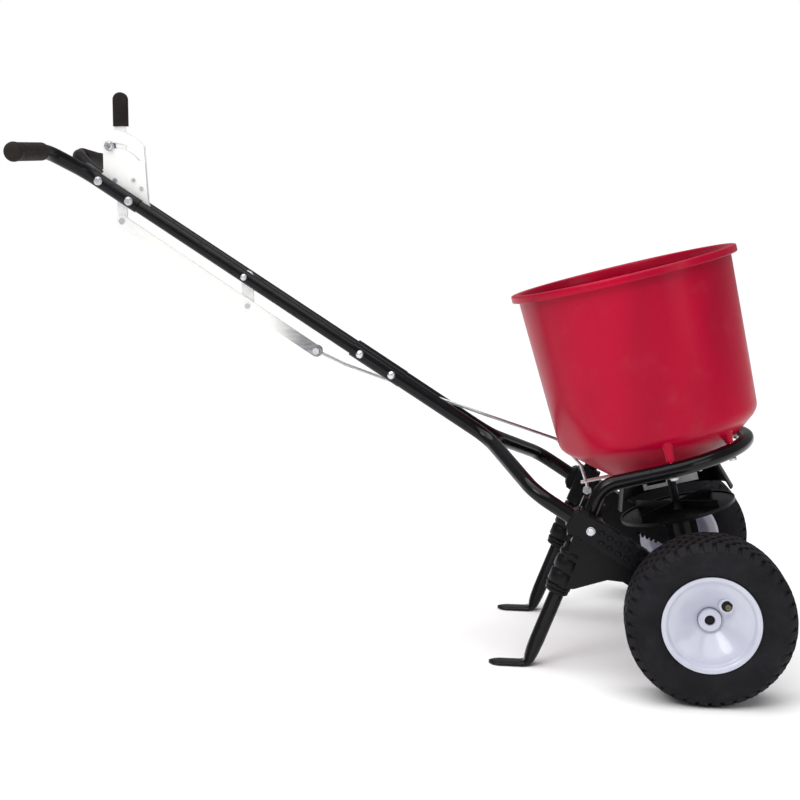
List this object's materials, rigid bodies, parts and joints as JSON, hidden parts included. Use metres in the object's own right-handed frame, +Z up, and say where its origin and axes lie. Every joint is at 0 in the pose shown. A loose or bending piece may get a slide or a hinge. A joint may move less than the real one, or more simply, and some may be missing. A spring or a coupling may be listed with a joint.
{
  "type": "broadcast spreader",
  "caption": "Walk-behind broadcast spreader: tilted round hopper on a tube hoop frame, two pneumatic wheels, geared spinner disc and a lever-worked shut-off gate on a long two-grip handle.",
  "frame": {"origin": "on the ground, under the middle of the whole part", "axes": "+X forward, in the direction it is pushed; +Y to the left wheel; +Z up"},
  "size_m": [1.1202, 0.609, 0.8411],
  "materials": {
    "black_tube_paint": "gloss powder coat",
    "black_plastic": "moulded satin",
    "zinc_sheet": "zinc plated sheet",
    "zinc_fasteners": "bright zinc plate",
    "bare_steel": "drawn steel",
    "grip_rubber": "matt",
    "red_plastic": "semi-gloss moulded",
    "rim_paint": "gloss enamel",
    "tyre_rubber": "matt",
    "valve_brass": "dull",
    "dark_nylon": "satin"
  },
  "bodies": {
    "chassis": {"axle_bushing_left": "dark_nylon", "axle_bushing_right": "dark_nylon", "axle_spacers": "bare_steel", "control_bolts": "zinc_fasteners", "control_plate_left": "zinc_sheet", "control_plate_right": "zinc_sheet", "deflector": "black_plastic", "deflector_screws": "zinc_fasteners", "frame_bolts": "zinc_fasteners", "gate_guide": "zinc_sheet", "gearbox_left": "black_plastic", "gearbox_right": "black_plastic", "grip_left": "grip_rubber", "grip_right": "grip_rubber", "guide_screws": "zinc_fasteners", "hanger_bolt": "zinc_fasteners", "hoop_frame": "black_tube_paint", "hopper": "red_plastic", "hopper_screws": "zinc_fasteners", "joint_bolts": "zinc_fasteners", "leg_clamp_left": "black_plastic", "leg_clamp_right": "black_plastic", "lever_pivot_pin": "zinc_fasteners", "lower_tube_left": "black_tube_paint", "lower_tube_right": "black_tube_paint", "middle_tube_left": "black_tube_paint", "middle_tube_right": "black_tube_paint", "plate_rivets": "zinc_fasteners", "side_bracket_left": "black_plastic", "side_bracket_right": "black_plastic", "upper_tube_left": "black_tube_paint", "upper_tube_right": "black_tube_paint"},
    "drive_axle": {"axle": "bare_steel", "axle_cap": "dark_nylon", "crown_gear": "dark_nylon", "drive_pin": "zinc_fasteners", "rim_left": "rim_paint", "tyre_left": "tyre_rubber", "valve_left": "valve_brass"},
    "free_wheel": {"rim_right": "rim_paint", "tyre_right": "tyre_rubber", "valve_right": "valve_brass", "wheel_bushings": "dark_nylon"},
    "impeller": {"impeller_shaft": "bare_steel", "spreader_disc": "black_plastic", "pinion_gear": "dark_nylon", "agitator": "bare_steel"},
    "lever": {"control_lever": "zinc_sheet", "lever_grip": "grip_rubber"},
    "rate_stop_body": {"rate_stop": "zinc_fasteners"},
    "link": {"link_bar": "zinc_sheet", "link_pins": "zinc_fasteners", "clamp_bolt": "zinc_fasteners"},
    "rod": {"control_rod": "bare_steel"},
    "hanger": {"hanger_strap": "zinc_sheet"},
    "gate": {"shutoff_gate": "zinc_sheet"}
  },
  "joints": [
    {"name": "drive_wheel_spin", "type": "hinge", "parent": "chassis", "child": "drive_axle", "pos_m": [0.44562, 0, 0.1145], "axis": [0, 1, 0], "continuous": true},
    {"name": "free_wheel_spin", "type": "hinge", "parent": "chassis", "child": "free_wheel", "pos_m": [0.44562, -0.26, 0.1145], "axis": [0, 1, 0], "continuous": true},
    {"name": "impeller_spin", "type": "hinge", "parent": "chassis", "child": "impeller", "pos_m": [0.42119, 0, 0.21147], "axis": [-0.2443, 0, 0.9697], "continuous": true},
    {"name": "lever_swing", "type": "hinge", "parent": "chassis", "child": "lever", "pos_m": [-0.45688, 0, 0.7059], "axis": [0, 1, 0], "range_deg": [0, 20]},
    {"name": "link_bar_swing", "type": "hinge", "parent": "lever", "child": "link", "pos_m": [-0.44698, 0, 0.6433], "axis": [0, 1, 0], "range_deg": [-22, 0]},
    {"name": "rod_swing", "type": "hinge", "parent": "link", "child": "rod", "pos_m": [-0.13998, 0, 0.4446], "axis": [0, 1, 0], "range_deg": [0, 4]},
    {"name": "hanger_swing", "type": "hinge", "parent": "chassis", "child": "hanger", "pos_m": [-0.24904, 0, 0.55894], "axis": [0, 1, 0], "range_deg": [0, 26]},
    {"name": "gate_slide", "type": "slide", "parent": "chassis", "child": "gate", "axis": [0.9697, 0, 0.2443], "range_m": [-0.025, 0]},
    {"name": "rate_stop_travel", "type": "hinge", "parent": "chassis", "child": "rate_stop_body", "pos_m": [-0.45688, 0, 0.7059], "axis": [0, 1, 0], "range_deg": [0, 5]}
  ],
  "couplings": [
    {"joint": "impeller_spin", "follows": "drive_wheel_spin", "ratio": -4},
    {"joint": "link_bar_swing", "follows": "lever_swing", "ratio": -1.0501},
    {"joint": "rod_swing", "follows": "lever_swing", "ratio": 0.12515},
    {"joint": "hanger_swing", "follows": "lever_swing", "ratio": 1.2574},
    {"joint": "gate_slide", "follows": "lever_swing", "m_per_rad": -0.070989}
  ]
}
